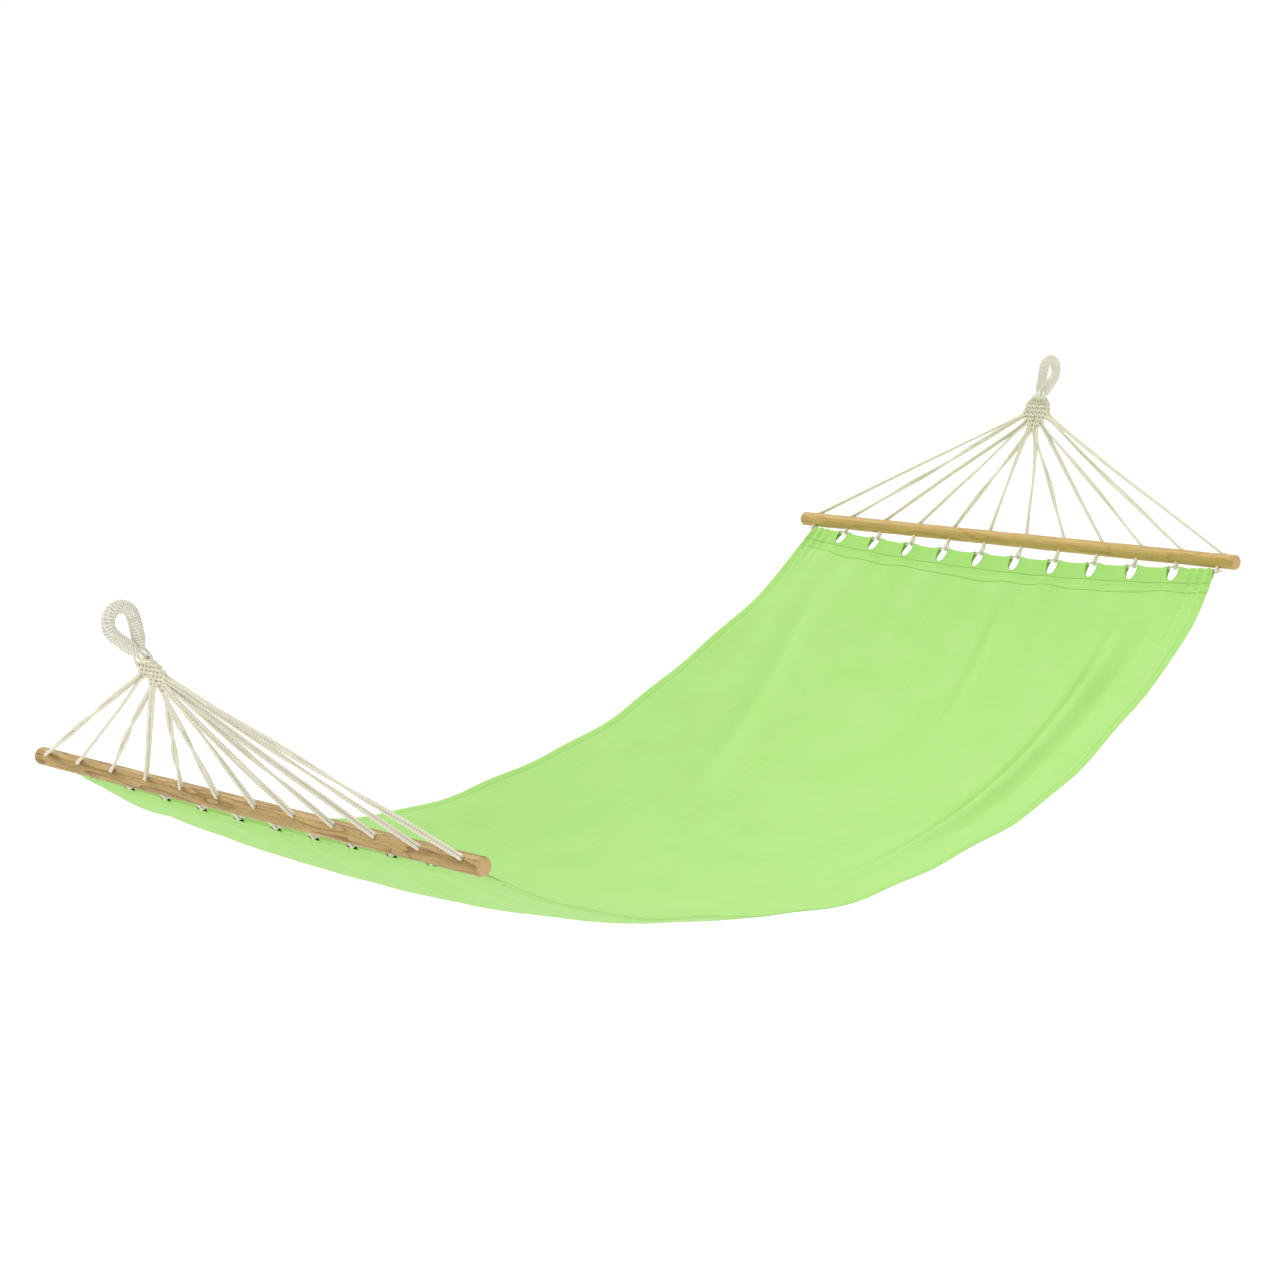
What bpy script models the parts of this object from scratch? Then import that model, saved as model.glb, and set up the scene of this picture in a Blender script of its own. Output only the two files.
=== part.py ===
"""A fabric hammock with two spreader bars, hung level and empty between two hooks.

Metres, +Z up. The origin is where the head hook bears on the inside of the head eye, and +X runs along
the hammock to the foot hook. Each end is laid out in the (x, z) plane of its own bar: the bar's axis is
the origin, x points in over the bed and z points up. End.place puts such a point in the world, and the
foot end is the head end mirrored.
"""

import math

import bmesh
import bpy
from mathutils import Matrix, Vector

# Spreader bars
BAR_LENGTH = 1.09
BAR_RADIUS = 0.015
BAR_ROUNDING = 0.004
BAR_SPAN = 2.0  # between the two bars' axes, hung
HOLE_COUNT = 12
HOLE_PITCH = 0.092
HOLE_RADIUS = 0.006

# Angles above the horizontal, in the plane across the bars
LINE_RISE = math.radians(63)  # suspension lines, bar to eye
HOLE_RISE = math.radians(48)  # holes through the bar
HEM_RISE = math.radians(50)  # hem cords, hanging from the bars
HEAD_EYE_RISE = math.radians(64)  # each soft eye leans its own way on its hook
FOOT_EYE_RISE = math.radians(50)

# Braided cord, doubled through each hole and round the hem cord
CORD_RADIUS = 0.0025
STRAND_OFFSET = 0.0026  # each strand's centre from the middle of the pair
BIGHT_RADIUS = 2 * CORD_RADIUS + 0.00035
MOUTH_CLEARANCE = 0.001  # a strand starts to bend this far out of the wood
MOUTH_BEND = 0.005
BIGHT_TURNS = (90, 45, 0, -45, -90)  # degrees round the hem cord, from above it to below it

# Clew: the woven mat that gathers the lines, hanging from a ball-shaped neck
PIVOT_DISTANCE = 0.298  # hole mouth to the neck's centre
NECK_RADIUS = 0.0135
NECK_CLEARANCE = 0.0003
MAT_SECTIONS = (  # drop below the neck's centre, half width, half thickness
    (0.010, 0.0160, 0.0100),
    (0.018, 0.0230, 0.0075),
    (0.030, 0.0270, 0.0065),
    (0.040, 0.0275, 0.0065),
    (0.052, 0.0200, 0.0065),
    (0.064, 0.0120, 0.0060),
    (0.073, 0.0060, 0.0050),
)
MAT_LENGTH = 0.076
FIRST_EXIT = (0.0290, -0.0410)  # half width and height of the outermost line's start
LAST_EXIT = (0.0048, -0.0775)  # the same for the middle lines

# Eye: a rope loop wrapped in twine
EYE_ROPE_RADIUS = 0.0085
SERVING_RADIUS = 0.0106
SERVING_THICKNESS = 0.0018
SERVING_START = 0.0195  # height above the neck where the twine starts
LEG_FOOT = (0.010, 0.0108)  # height above the neck's centre, and distance off the eye's axis
WEB_HEIGHT = 0.0135  # the web joins the two legs
WEB_RADII = (0.0165, 0.0092, 0.0065)
CROWN_HEIGHT = 0.0605
CROWN_RADIUS = 0.0225
SEAT_HEIGHT = CROWN_HEIGHT + CROWN_RADIUS - SERVING_RADIUS

# Bed
BED_WIDTH = 1.0  # along the hems, which gather it a little
BED_SPREAD = 0.05  # how much wider it is in the middle
EDGE_SAG = 0.325  # lowest point of the bed's sides and of its middle line, below the bars' axes
MIDDLE_SAG = 0.405
PARABOLA_SHARE = 0.86  # the bed hangs in a parabola, but its stiff hems make its ends steeper
END_POWER = 8
CLOTH_THICKNESS = 0.0012
TUNNEL_RADIUS = CORD_RADIUS + CLOTH_THICKNESS / 2 + 0.0004
HEM_DROP_EDGE = 0.008  # hole mouth to hem cord, at the bed's sides
HEAD_HEM_DROP = 0.033  # the same in its middle, where the hem bows away from the bar
FOOT_HEM_DROP = 0.029
FLAP_STEPS = ((0.004, 0.0071), (0.014, 0.0045), (0.028, 0.0021), (0.058, 0.0019))  # along, below
NOTCH_WIDTH = 0.026
NOTCH_DEPTH = 0.032
NOTCH_ROUNDING = 0.008
NOTCH_CUT_HEIGHT = 0.04
BIGHT_RISE = 0.008  # each inner bight pulls the hem cord up by this much
END_BIGHT_RISE = 0.002
HEM_CORD_TAIL = 0.010
HEM_CORD_MARGIN = 0.0015
BESIDE_NOTCH = 0.005  # the bed's mesh has a line of points this far beside each notch
HALF_BED_ROWS = 6


def direction(rise):
    """Down and in over the bed, at this angle below the horizontal."""
    return Vector((math.cos(rise), -math.sin(rise)))


def normal(rise):
    """Square to direction(rise), on its upper side."""
    return Vector((math.sin(rise), math.cos(rise)))


OUTER_MOUTH = -BAR_RADIUS * direction(HOLE_RISE)
INNER_MOUTH = BAR_RADIUS * direction(HOLE_RISE)
HOLE_PLACES = [((HOLE_COUNT - 1) / 2 - i) * HOLE_PITCH for i in range(HOLE_COUNT)]


def clew_point(height, off_axis=0.0):
    """A point above (+) or below (-) the neck's centre along the lines' slope."""
    along = OUTER_MOUTH - (PIVOT_DISTANCE + height) * direction(LINE_RISE)
    return along + off_axis * normal(LINE_RISE)


def eye_point(rise, height, off_axis=0.0):
    """A point above the neck's centre along the axis of an eye that stands at this angle."""
    return clew_point(0) - height * direction(rise) + off_axis * normal(rise)


SEAT = eye_point(HEAD_EYE_RISE, SEAT_HEIGHT)


class End:
    def __init__(self, name, bar_x, inward, eye_rise, hem_drop):
        self.name = name
        self.bar_x = bar_x
        self.inward = inward
        self.eye_rise = eye_rise
        self.hem_drop = hem_drop

    def place(self, point, y=0.0):
        return Vector((self.bar_x + self.inward * point.x, y, point.y - SEAT.y))


HEAD = End("head", -SEAT.x, 1, HEAD_EYE_RISE, HEAD_HEM_DROP)
FOOT = End("foot", -SEAT.x + BAR_SPAN, -1, FOOT_EYE_RISE, FOOT_HEM_DROP)


def make_material(name, colour, roughness):
    material = bpy.data.materials.new(name)
    material.use_nodes = True
    shader = material.node_tree.nodes["Principled BSDF"]
    shader.inputs["Base Color"].default_value = (*colour, 1)
    shader.inputs["Roughness"].default_value = roughness
    shader.inputs["Metallic"].default_value = 0
    material.diffuse_color = (*colour, 1)
    return material


def add_object(name, data, collection, material=None):
    thing = bpy.data.objects.new(name, data)
    if material:
        data.materials.append(material)
    collection.objects.link(thing)
    return thing


def mesh_from(name, bm):
    bmesh.ops.recalc_face_normals(bm, faces=bm.faces)
    mesh = bpy.data.meshes.new(name)
    bm.to_mesh(mesh)
    bm.free()
    return mesh


def shade_round(thing):
    thing.data.shade_smooth()
    thing.data.set_sharp_from_angle(angle=math.radians(40))


def add_cutter(name, mesh):
    cutter = add_object(name, mesh, cutters)
    cutter.hide_render = True
    cutter.display_type = "WIRE"
    return cutter


def add_boolean(thing, operation, other):
    boolean = thing.modifiers.new(other.name, "BOOLEAN")
    boolean.operation = operation
    boolean.object = other


def make_tube(name, points, radius, collection, material, resolution=2, capped=True):
    curve = bpy.data.curves.new(name, "CURVE")
    curve.dimensions = "3D"
    curve.bevel_depth = radius
    curve.bevel_resolution = resolution
    curve.use_fill_caps = capped
    spline = curve.splines.new("POLY")
    spline.points.add(len(points) - 1)
    for place, point in zip(spline.points, points):
        place.co = (*point, 1)
    spline.use_smooth = True
    return add_object(name, curve, collection, material)


def mesh_copy(thing, name):
    """The curve's evaluated mesh with its caps welded on. The curve itself is removed."""
    evaluated = thing.evaluated_get(bpy.context.evaluated_depsgraph_get())
    mesh = bpy.data.meshes.new_from_object(evaluated)
    bpy.data.objects.remove(thing)
    bm = bmesh.new()
    bm.from_mesh(mesh)
    bmesh.ops.remove_doubles(bm, verts=bm.verts, dist=0.00001)
    bm.to_mesh(mesh)
    bm.free()
    mesh.name = name
    return mesh


def middle_share(y):
    """0 at the bed's sides, 1 in the middle: the hem bows away from the bar there, and the bed sags more."""
    return 1 - min(1, abs(y) / (BED_WIDTH / 2)) ** 2


def hem_cord_point(end, y, pulled_up=0.0):
    drop = HEM_DROP_EDGE + (end.hem_drop - HEM_DROP_EDGE) * middle_share(y)
    return INNER_MOUTH + (drop - pulled_up) * direction(HEM_RISE)


def bight_rise(y):
    return BIGHT_RISE if abs(y) < BED_WIDTH / 2 else END_BIGHT_RISE


def make_bar(end):
    bm = bmesh.new()
    along_y = Matrix.Rotation(math.radians(90), 4, "X")
    bmesh.ops.create_cone(
        bm,
        cap_ends=True,
        segments=32,
        radius1=BAR_RADIUS,
        radius2=BAR_RADIUS,
        depth=BAR_LENGTH,
        matrix=along_y,
    )
    bar = add_object(f"{end.name}_spreader_bar", mesh_from("spreader_bar", bm), parts, wood)
    bar.location = end.place(Vector((0, 0)))
    rounding = bar.modifiers.new("rounded_ends", "BEVEL")
    rounding.width = BAR_ROUNDING
    rounding.segments = 2
    rounding.limit_method = "ANGLE"
    add_boolean(bar, "DIFFERENCE", make_hole_cutter(end, bar))
    shade_round(bar)


def make_hole_cutter(end, bar):
    bm = bmesh.new()
    tilt = Matrix.Rotation(end.inward * -(math.pi / 2 - HOLE_RISE), 4, "Y")
    for y in HOLE_PLACES:
        bmesh.ops.create_cone(
            bm,
            cap_ends=True,
            segments=12,
            radius1=HOLE_RADIUS,
            radius2=HOLE_RADIUS,
            depth=4 * BAR_RADIUS,
            matrix=Matrix.Translation((0, y, 0)) @ tilt,
        )
    cutter = add_cutter(f"{end.name}_bar_holes", mesh_from("bar_holes", bm))
    cutter.location = bar.location
    return cutter


def line_exit(y):
    """Where the pair of strands for the hole at y leaves the mat: (across, height)."""
    steps = HOLE_COUNT / 2 - 1
    share = 1 - (abs(y) / HOLE_PITCH - 0.5) / steps
    across, height = (a + share * (b - a) for a, b in zip(FIRST_EXIT, LAST_EXIT))
    return math.copysign(across, y), height


def strand(end, y, side):
    """One strand from the mat through the bar to the start of its bight, above (+1) or below (-1)."""
    across, height = line_exit(y)
    offset = side * STRAND_OFFSET
    out_of_wood = BAR_RADIUS + MOUTH_CLEARANCE
    start = end.place(clew_point(height, offset), across)
    mouth = end.place(-out_of_wood * direction(HOLE_RISE) + offset * normal(HOLE_RISE), y)
    inner = end.place(out_of_wood * direction(HOLE_RISE) + offset * normal(HOLE_RISE), y)
    straight_on = (mouth - inner).normalized()
    along_line = (start - mouth).normalized()
    bend = mouth + MOUTH_BEND * (straight_on + along_line).normalized()
    return [start, bend, mouth, inner]


def make_line(end, number, y):
    centre = hem_cord_point(end, y, bight_rise(y))
    bight = []
    for angle in BIGHT_TURNS:
        turn = math.radians(angle)
        spoke = math.cos(turn) * direction(HEM_RISE) + math.sin(turn) * normal(HEM_RISE)
        bight.append(end.place(centre + BIGHT_RADIUS * spoke, y))
    points = strand(end, y, 1) + bight + strand(end, y, -1)[::-1]
    make_tube(f"{end.name}_line_{number:02d}", points, CORD_RADIUS, parts, cotton)


def make_hem_cord(end):
    rise_start = NOTCH_WIDTH / 2 - HEM_CORD_MARGIN
    under_bight = CORD_RADIUS + HEM_CORD_MARGIN
    tail = HOLE_PLACES[0] + HEM_CORD_TAIL
    route = [(tail, END_BIGHT_RISE), (HOLE_PLACES[0], END_BIGHT_RISE), (BED_WIDTH / 2, 0)]
    for y in HOLE_PLACES[1:-1]:
        route += [(y + rise_start, 0), (y + under_bight, BIGHT_RISE)]
        route += [(y - under_bight, BIGHT_RISE), (y - rise_start, 0)]
    route += [(-BED_WIDTH / 2, 0), (HOLE_PLACES[-1], END_BIGHT_RISE), (-tail, END_BIGHT_RISE)]
    points = [end.place(hem_cord_point(end, y, pulled_up), y) for y, pulled_up in route]
    make_tube(f"{end.name}_hem_cord", points, CORD_RADIUS, parts, cotton)


def add_ring(bm, end, height, half_width, half_thickness, squareness, sides=20):
    """One section of the clew, square to its axis."""
    ring = []
    for i in range(sides):
        turn = math.tau * i / sides
        c, s = math.cos(turn), math.sin(turn)
        across = half_width * math.copysign(abs(c) ** squareness, c)
        through = half_thickness * math.copysign(abs(s) ** squareness, s)
        ring.append(bm.verts.new(end.place(clew_point(height, through), across)))
    return ring


def make_clew(end):
    bm = bmesh.new()
    top = bm.verts.new(end.place(clew_point(NECK_RADIUS)))
    rings = []
    for polar in (18, 36, 54, 72, 90, 106):
        turn = math.radians(polar)
        radius = NECK_RADIUS * math.sin(turn)
        rings.append(add_ring(bm, end, NECK_RADIUS * math.cos(turn), radius, radius, 1))
    for drop, half_width, half_thickness in MAT_SECTIONS:
        rings.append(add_ring(bm, end, -drop, half_width, half_thickness, 0.8))
    bottom = bm.verts.new(end.place(clew_point(-MAT_LENGTH)))
    count = len(rings[0])
    for i in range(count):
        j = (i + 1) % count
        bm.faces.new((top, rings[0][i], rings[0][j]))
        bm.faces.new((bottom, rings[-1][j], rings[-1][i]))
        for upper, lower in zip(rings, rings[1:]):
            bm.faces.new((upper[i], lower[i], lower[j], upper[j]))
    shade_round(add_object(f"{end.name}_clew", mesh_from("clew", bm), parts, cotton))


def eye_path(end, lowest):
    """The rope's centre line from one leg's foot round the crown to the other's, above this height."""
    foot_height, foot_offset = LEG_FOOT
    to_centre = Vector((CROWN_HEIGHT - foot_height, -foot_offset))
    flare = math.asin(CROWN_RADIUS / to_centre.length) + math.atan2(to_centre.y, to_centre.x)
    points = [(lowest, foot_offset + (lowest - foot_height) * math.tan(flare))]
    arc_steps = 12
    for i in range(arc_steps + 1):
        turn = -flare + (math.pi + 2 * flare) * i / arc_steps
        points.append((CROWN_HEIGHT + CROWN_RADIUS * math.sin(turn), CROWN_RADIUS * math.cos(turn)))
    points.append((points[0][0], -points[0][1]))
    return [end.place(eye_point(end.eye_rise, height, off_axis)) for height, off_axis in points]


def make_eye(end):
    tube = make_tube("eye_tube", eye_path(end, LEG_FOOT[0]), EYE_ROPE_RADIUS, parts, cotton, 4)
    name = f"{end.name}_eye_rope"
    rope = add_object(name, mesh_copy(tube, name), parts)

    bm = bmesh.new()
    bmesh.ops.create_uvsphere(bm, u_segments=20, v_segments=10, radius=1)
    web = add_cutter(f"{end.name}_eye_web", mesh_from("eye_web", bm))
    web.location = end.place(eye_point(end.eye_rise, WEB_HEIGHT))
    web.rotation_euler = (0, end.inward * (end.eye_rise - math.pi / 2), 0)
    web.scale = WEB_RADII
    add_boolean(rope, "UNION", web)

    bm = bmesh.new()
    bmesh.ops.create_uvsphere(bm, u_segments=20, v_segments=14, radius=NECK_RADIUS + NECK_CLEARANCE)
    socket = add_cutter(f"{end.name}_neck_socket", mesh_from("neck_socket", bm))
    socket.location = end.place(clew_point(0))
    add_boolean(rope, "DIFFERENCE", socket)
    shade_round(rope)

    serving = make_tube(
        f"{end.name}_eye_serving", eye_path(end, SERVING_START), SERVING_RADIUS, parts, twine, 4, capped=False
    )
    sleeve = serving.modifiers.new("twine_thickness", "SOLIDIFY")
    sleeve.thickness = SERVING_THICKNESS
    sleeve.offset = -1


def bed_columns():
    """Where across the bed its mesh has a line of points: the sides, and each side of every notch."""
    beside_notch = NOTCH_WIDTH / 2 + BESIDE_NOTCH
    columns = [BED_WIDTH / 2]
    for y in HOLE_PLACES[1:-1]:
        columns += [y + beside_notch, y - beside_notch]
    return columns + [-BED_WIDTH / 2]


def sheet_point(end, y, share, below=0.0):
    """A point of the hung bed: share is 0 in the middle of its length and 1 at the fold of this end's hem."""
    fold = hem_cord_point(end, y) + TUNNEL_RADIUS * normal(HEM_RISE)
    sag = EDGE_SAG + (MIDDLE_SAG - EDGE_SAG) * middle_share(y)
    half_length = BAR_SPAN / 2 - fold.x
    depth = sag + fold.y
    height = PARABOLA_SHARE * share**2 + (1 - PARABOLA_SHARE) * share**END_POWER
    steepness = 2 * PARABOLA_SHARE * share + END_POWER * (1 - PARABOLA_SHARE) * share ** (END_POWER - 1)
    slope = math.atan(depth / half_length * steepness)
    point = Vector((BAR_SPAN / 2 - half_length * share, depth * height - sag))
    spread = 1 + BED_SPREAD / BED_WIDTH * (1 - share**2)
    return end.place(point - below * normal(slope), y * spread)


def hem_profile(end, y):
    """From the sewn edge of the turned-under flap, round the hem cord and down to the middle of the bed."""
    per_metre = math.cos(HEM_RISE) / (BAR_SPAN / 2 - INNER_MOUTH.x)
    flap = [sheet_point(end, y, 1 - along * per_metre, below) for along, below in FLAP_STEPS[::-1]]
    fold = []
    for angle in (180, 135, 90, 45):
        turn = math.radians(angle)
        spoke = math.cos(turn) * normal(HEM_RISE) - math.sin(turn) * direction(HEM_RISE)
        fold.append(end.place(hem_cord_point(end, y) + TUNNEL_RADIUS * spoke, y))
    shares = [1] + [1 - along * per_metre for along, _ in FLAP_STEPS]
    shares += [shares[-1] * (1 - i / (HALF_BED_ROWS + 1)) for i in range(1, HALF_BED_ROWS + 1)]
    return flap + fold + [sheet_point(end, y, share) for share in shares]


def bed_profile(y):
    return hem_profile(HEAD, y) + [sheet_point(HEAD, y, 0)] + hem_profile(FOOT, y)[::-1]


def make_bed():
    bm = bmesh.new()
    columns = [[bm.verts.new(point) for point in bed_profile(y)] for y in bed_columns()]
    for left, right in zip(columns, columns[1:]):
        for i in range(len(left) - 1):
            bm.faces.new((left[i], left[i + 1], right[i + 1], right[i]))
    bed = add_object("bed", mesh_from("bed", bm), parts, canvas)
    cloth = bed.modifiers.new("cloth_thickness", "SOLIDIFY")
    cloth.thickness = CLOTH_THICKNESS
    cloth.offset = 0
    for end in (HEAD, FOOT):
        add_boolean(bed, "DIFFERENCE", make_notch_cutter(end))
    bed.data.shade_smooth()


def make_notch_cutter(end):
    bm = bmesh.new()
    clear_of_fold = 0.015
    length = NOTCH_DEPTH + clear_of_fold
    for y in HOLE_PLACES[1:-1]:
        centre = hem_cord_point(end, y) + (NOTCH_DEPTH - length / 2) * direction(HEM_RISE)
        turn = Matrix.Rotation(end.inward * HEM_RISE, 4, "Y")
        size = Matrix.Diagonal((length, NOTCH_WIDTH, NOTCH_CUT_HEIGHT, 1))
        bmesh.ops.create_cube(bm, size=1, matrix=Matrix.Translation(end.place(centre, y)) @ turn @ size)
    upright = [edge for edge in bm.edges if abs(edge.calc_length() - NOTCH_CUT_HEIGHT) < 0.0001]
    bmesh.ops.bevel(bm, geom=upright, offset=NOTCH_ROUNDING, segments=1, affect="EDGES")
    return add_cutter(f"{end.name}_hem_notches", mesh_from("hem_notches", bm))


for thing in list(bpy.data.objects):
    bpy.data.objects.remove(thing)

parts = bpy.data.collections.new("hammock")
cutters = bpy.data.collections.new("cutters")
for collection in (parts, cutters):
    bpy.context.scene.collection.children.link(collection)

wood = make_material("wood", (0.50, 0.31, 0.13), 0.55)
cotton = make_material("cotton_cord", (0.80, 0.77, 0.64), 0.9)
twine = make_material("twine", (0.82, 0.79, 0.68), 0.9)
canvas = make_material("canvas", (0.42, 0.80, 0.20), 0.95)

for end in (HEAD, FOOT):
    make_bar(end)
    make_eye(end)
    make_clew(end)
    make_hem_cord(end)
    for i, y in enumerate(HOLE_PLACES):
        make_line(end, i + 1, y)
make_bed()
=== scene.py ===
"""The looks of the fabric hammock with two spreader bars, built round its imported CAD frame.

Metres, +Z up, in the frame's own axes: +X runs from the head hook to the foot hook. Each end is laid out
as in part.py, in the (x, z) plane of its own bar, with x in over the bed and z up. End.place puts such
points in the world. The angles and sizes that the frame's boxes don't show repeat part.py's.
"""

import math

import bmesh
import bpy
import numpy as np
from mathutils import Matrix, Vector


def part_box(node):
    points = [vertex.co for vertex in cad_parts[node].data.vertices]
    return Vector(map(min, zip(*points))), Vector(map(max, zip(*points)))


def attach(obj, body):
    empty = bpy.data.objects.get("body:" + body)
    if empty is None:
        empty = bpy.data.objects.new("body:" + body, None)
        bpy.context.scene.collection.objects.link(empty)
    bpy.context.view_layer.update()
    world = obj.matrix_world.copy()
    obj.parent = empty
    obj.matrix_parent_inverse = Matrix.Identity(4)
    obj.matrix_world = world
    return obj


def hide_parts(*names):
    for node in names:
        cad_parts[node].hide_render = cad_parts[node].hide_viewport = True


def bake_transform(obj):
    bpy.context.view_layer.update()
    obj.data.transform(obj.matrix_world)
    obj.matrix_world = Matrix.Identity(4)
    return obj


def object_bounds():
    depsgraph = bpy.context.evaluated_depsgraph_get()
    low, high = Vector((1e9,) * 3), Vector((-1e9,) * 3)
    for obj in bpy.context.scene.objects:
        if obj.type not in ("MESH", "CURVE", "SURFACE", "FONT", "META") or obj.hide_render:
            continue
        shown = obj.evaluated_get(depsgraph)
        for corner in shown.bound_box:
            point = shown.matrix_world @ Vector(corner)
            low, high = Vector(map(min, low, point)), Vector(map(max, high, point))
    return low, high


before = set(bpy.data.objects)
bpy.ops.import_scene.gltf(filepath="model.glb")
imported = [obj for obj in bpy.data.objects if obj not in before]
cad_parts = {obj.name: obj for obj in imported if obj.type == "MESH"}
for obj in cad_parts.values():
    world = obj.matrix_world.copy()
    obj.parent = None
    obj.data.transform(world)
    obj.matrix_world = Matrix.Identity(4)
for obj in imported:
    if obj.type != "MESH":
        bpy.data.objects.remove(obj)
cad_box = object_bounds()
random = np.random.default_rng(7)

# Camera
CAMERA_PLACE = (-2.1978, -3.0356, 1.1397)  # from the middle of the head bar
CAMERA_YAW = math.radians(45.54)  # turned from +Y towards +X
CAMERA_PITCH = math.radians(14.14)  # below the horizontal
CAMERA_ROLL = math.radians(-4.74)
CAMERA_LENS = 71.07

# Studio
FLOOR_SIZE = 400
FLOOR_DROP = 6.0
WALL_RADIUS = 85  # a white wall round the floor hides the horizon
WALL_HEIGHT = 70
WORLD_STRENGTH = 0.67
SUNS = (  # name, the way it shines from, its spread in degrees, strength
    ("key", (0.1, 0.9, 1.2), 16, 1.89),
    ("fill", (-0.9, -1.0, 0.7), 60, 0.81),
)

# Angles above the horizontal
LINE_RISE = math.radians(63)
HOLE_RISE = math.radians(48)
HEM_RISE = math.radians(50)
HEAD_EYE_RISE = math.radians(64)
FOOT_EYE_RISE = math.radians(50)

# Bars
BAR_RADIUS = 0.015
BAR_ROUNDING = 0.007
BAR_WAVINESS = 0.00035
HOLE_COUNT = 12
HOLE_PITCH = 0.092
HOLE_RADIUS = 0.006

# Cords
CORD_RADIUS = 0.0025
STRAND_OFFSET = 0.0026
BIGHT_RADIUS = 2 * CORD_RADIUS + 0.00035
BRAID_PITCH = 0.0050
BRAID_COLUMNS = 4
BRAID_RELIEF = 0.00032
CORD_SIDES = 16
CORD_STEP = 0.0011

# Clew
PIVOT_DISTANCE = 0.298
MAT_WIDTHS = (  # height above the neck's centre, half width between the outer strands' centres
    (-0.001, 0.0085),
    (-0.008, 0.0165),
    (-0.018, 0.0240),
    (-0.030, 0.0255),
    (-0.080, 0.0265),
)
FIRST_EXIT = (0.0270, -0.0370)
LAST_EXIT = (0.0048, -0.0775)
MAT_STRAND_RADIUS = 0.0021  # the strands are drawn tight in the mat
MAT_ROW = 0.0095  # from one weft to the next, and each pair of strands makes a half turn in it
MAT_THROUGH = 0.0031  # strands' centres in front of and behind the weft
MAT_ACROSS = 0.0018
CROSSING_SHADE = 0.65  # how much darker the strands look where they cross
FIRST_WEFT = -0.006
LAST_WEFT = -0.074
WEFT_RADIUS = 0.0011
WEFT_SIDES = 10
WEB_LENGTH = 0.034  # neighbouring lines run on together for this long
BUNDLE_DEPTH = 0.0080  # the mat's strands gather into a round bundle of this half depth at the neck
BUNDLE_START = 0.022  # below the neck's centre
BUNDLE_LENGTH = 0.021
OUT_OF_WOOD = 0.001  # a strand is straight until this far outside its hole

# Eyes
EYE_ROPE_RADIUS = 0.0085
SERVING_RADIUS = 0.0106
TWINE_RADIUS = 0.0019
TWINE_PITCH = 0.0042
CROWN_HEIGHT = 0.0605
CROWN_RADIUS = 0.0225
NECK_RADIUS = 0.0122  # the bundle is round here, so that it looks the same however the hammock swings
LOWEST_TWINE = 0.0055
LEG_TAPER = 0.0034  # the legs thin down by this much where they meet
LEG_TAPER_LENGTH = 0.015
LEG_OFFSETS = (  # height above the neck's centre, leg's middle line from the eye's axis
    (0.0055, 0.0055),
    (0.012, 0.0078),
    (0.020, 0.0102),
    (0.028, 0.0126),
    (0.037, 0.0158),
    (0.046, 0.0193),
)
CROWN_DIP = math.radians(12)  # the crown's arc goes this far past a half circle on each side

# Bed
BAR_SPAN = 2.0
BED_WIDTH = 1.0
BED_SPREAD = 0.05
CORNER_SPREAD = 0.022  # the last lines gather the corners in, and the cloth widens again just past them
EDGE_SAG = 0.325
MIDDLE_SAG = 0.405
BED_TWIST = 0.07  # the cloth hangs a little unevenly: its left side is higher at the foot end
PARABOLA_SHARE = 0.86
END_POWER = 8
CLOTH_THICKNESS = 0.0010
TUNNEL_RADIUS = 0.0035
MOUTH_SWELL = 0.0020  # the tunnel gapes at each notch
HEM_DROP_EDGE = 0.008
HEM_DROPS = {"head": 0.033, "foot": 0.029}
BIGHT_RISE = 0.008
END_BIGHT_RISE = 0.002
HEM_CORD_TAIL = 0.010
LIFTED_HALF_WIDTH = 0.49  # the hem cord's lift at the cloth's edges is the one found here
HEM_LIFT = 0.0035  # the hem cord lifts the corners of the cloth beside each notch
NOTCH_HALF_WIDTH = 0.0125
NOTCH_DEPTH = 0.031
BINDING_RADIUS = 0.0009
TUNNEL_SEAM = 0.036  # distances along the cloth from the fold
FLAP_SEAM = 0.062
FLAP_SEAM_WANDER = 0.003
SIDE_HEM = 0.012
HALF_CLOTH = 1.09  # distances from the folds are counted on this half length
FOLD_THREAD = 1.06  # where each fold lies along the weave
STITCH = 0.0036
STITCH_RADIUS = 0.0006


def direction(rise):
    """Down and in over the bed, at this angle below the horizontal."""
    return np.array((math.cos(rise), 0.0, -math.sin(rise)))


def normal(rise):
    """Square to direction(rise), on its upper side."""
    return np.array((math.sin(rise), 0.0, math.cos(rise)))


ACROSS = np.array((0.0, 1.0, 0.0))
OUTER_MOUTH = -BAR_RADIUS * direction(HOLE_RISE)
INNER_MOUTH = BAR_RADIUS * direction(HOLE_RISE)
HOLE_PLACES = [((HOLE_COUNT - 1) / 2 - i) * HOLE_PITCH for i in range(HOLE_COUNT)]


def unit(vectors):
    return vectors / np.linalg.norm(vectors, axis=-1, keepdims=True)


def smooth(share):
    share = np.clip(share, 0, 1)
    return share * share * (3 - 2 * share)


def bump(distance, width):
    return np.exp(-((distance / width) ** 2))


class End:
    def __init__(self, name, inward, eye_rise):
        self.name = name
        self.body = f"{name}_end"
        low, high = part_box(f"{name}_spreader_bar")
        self.bar = (low + high) / 2
        self.half_bar = (high.y - low.y) / 2
        self.inward = inward
        self.eye_rise = eye_rise
        self.hem_drop = HEM_DROPS[name]

    def place(self, points):
        points = np.asarray(points, float)
        scale = np.array((self.inward, 1.0, 1.0))
        return points * scale + np.array(self.bar)


HEAD = End("head", 1, HEAD_EYE_RISE)
FOOT = End("foot", -1, FOOT_EYE_RISE)
MIDDLE_X = (HEAD.bar.x + FOOT.bar.x) / 2


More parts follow.
